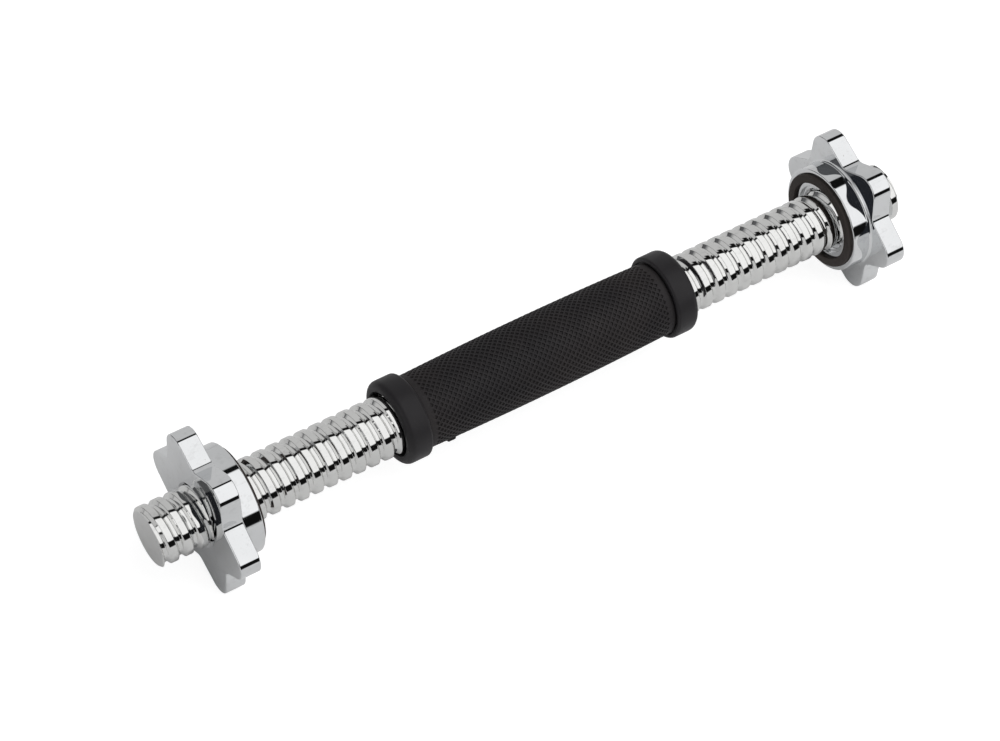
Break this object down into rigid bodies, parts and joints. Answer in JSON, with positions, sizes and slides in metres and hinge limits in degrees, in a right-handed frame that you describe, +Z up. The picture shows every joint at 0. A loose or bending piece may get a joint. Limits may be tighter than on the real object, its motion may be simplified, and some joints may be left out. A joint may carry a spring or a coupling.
{
  "type": "spin-lock dumbbell bar",
  "caption": "Threaded chrome dumbbell bar with a knurled rubber grip, end flanges and star-shaped spin-lock collars that screw in to clamp weight plates.",
  "frame": {"origin": "on the bar's axis, midway between its two ends", "axes": "+X along the bar, from the left collar to the right collar; +Z up, with each star standing on two of its lobes; +Y away from the front"},
  "size_m": [0.35, 0.0686, 0.0616],
  "materials": {
    "chrome_bar": "bright chrome plate over a rolled thread",
    "chrome_collar": "bright chrome plate over a casting",
    "ring_steel": "turned steel",
    "grip_rubber": "matte, moulded diamond knurl",
    "flange_rubber": "satin moulded rubber",
    "pad_rubber": "matte rubber"
  },
  "bodies": {
    "handle": {"bar": "chrome_bar", "grip_sleeve": "grip_rubber", "left_stop_ring": "ring_steel", "right_stop_ring": "ring_steel", "left_flange": "flange_rubber", "right_flange": "flange_rubber"},
    "left_pad": {"left_pad_ring": "pad_rubber"},
    "left_collar": {"left_star_collar": "chrome_collar"},
    "right_pad": {"right_pad_ring": "pad_rubber"},
    "right_collar": {"right_star_collar": "chrome_collar"}
  },
  "joints": [
    {"name": "left_collar_travel", "type": "slide", "parent": "handle", "child": "left_pad", "axis": [1, 0, 0], "range_m": [-0.0406, 0.0667]},
    {"name": "left_collar_spin", "type": "hinge", "parent": "left_pad", "child": "left_collar", "pos_m": [-0.1369, 0, 0], "axis": [1, 0, 0], "range_deg": [-2296, 3775]},
    {"name": "right_collar_travel", "type": "slide", "parent": "handle", "child": "right_pad", "axis": [1, 0, 0], "range_m": [-0.0729, 0.0344]},
    {"name": "right_collar_spin", "type": "hinge", "parent": "right_pad", "child": "right_collar", "pos_m": [0.1432, 0, 0], "axis": [1, 0, 0], "range_deg": [-4127, 1944]}
  ],
  "couplings": [
    {"joint": "left_collar_travel", "follows": "left_collar_spin", "m_per_rad": 0.0010106},
    {"joint": "right_collar_travel", "follows": "right_collar_spin", "m_per_rad": 0.0010106}
  ]
}
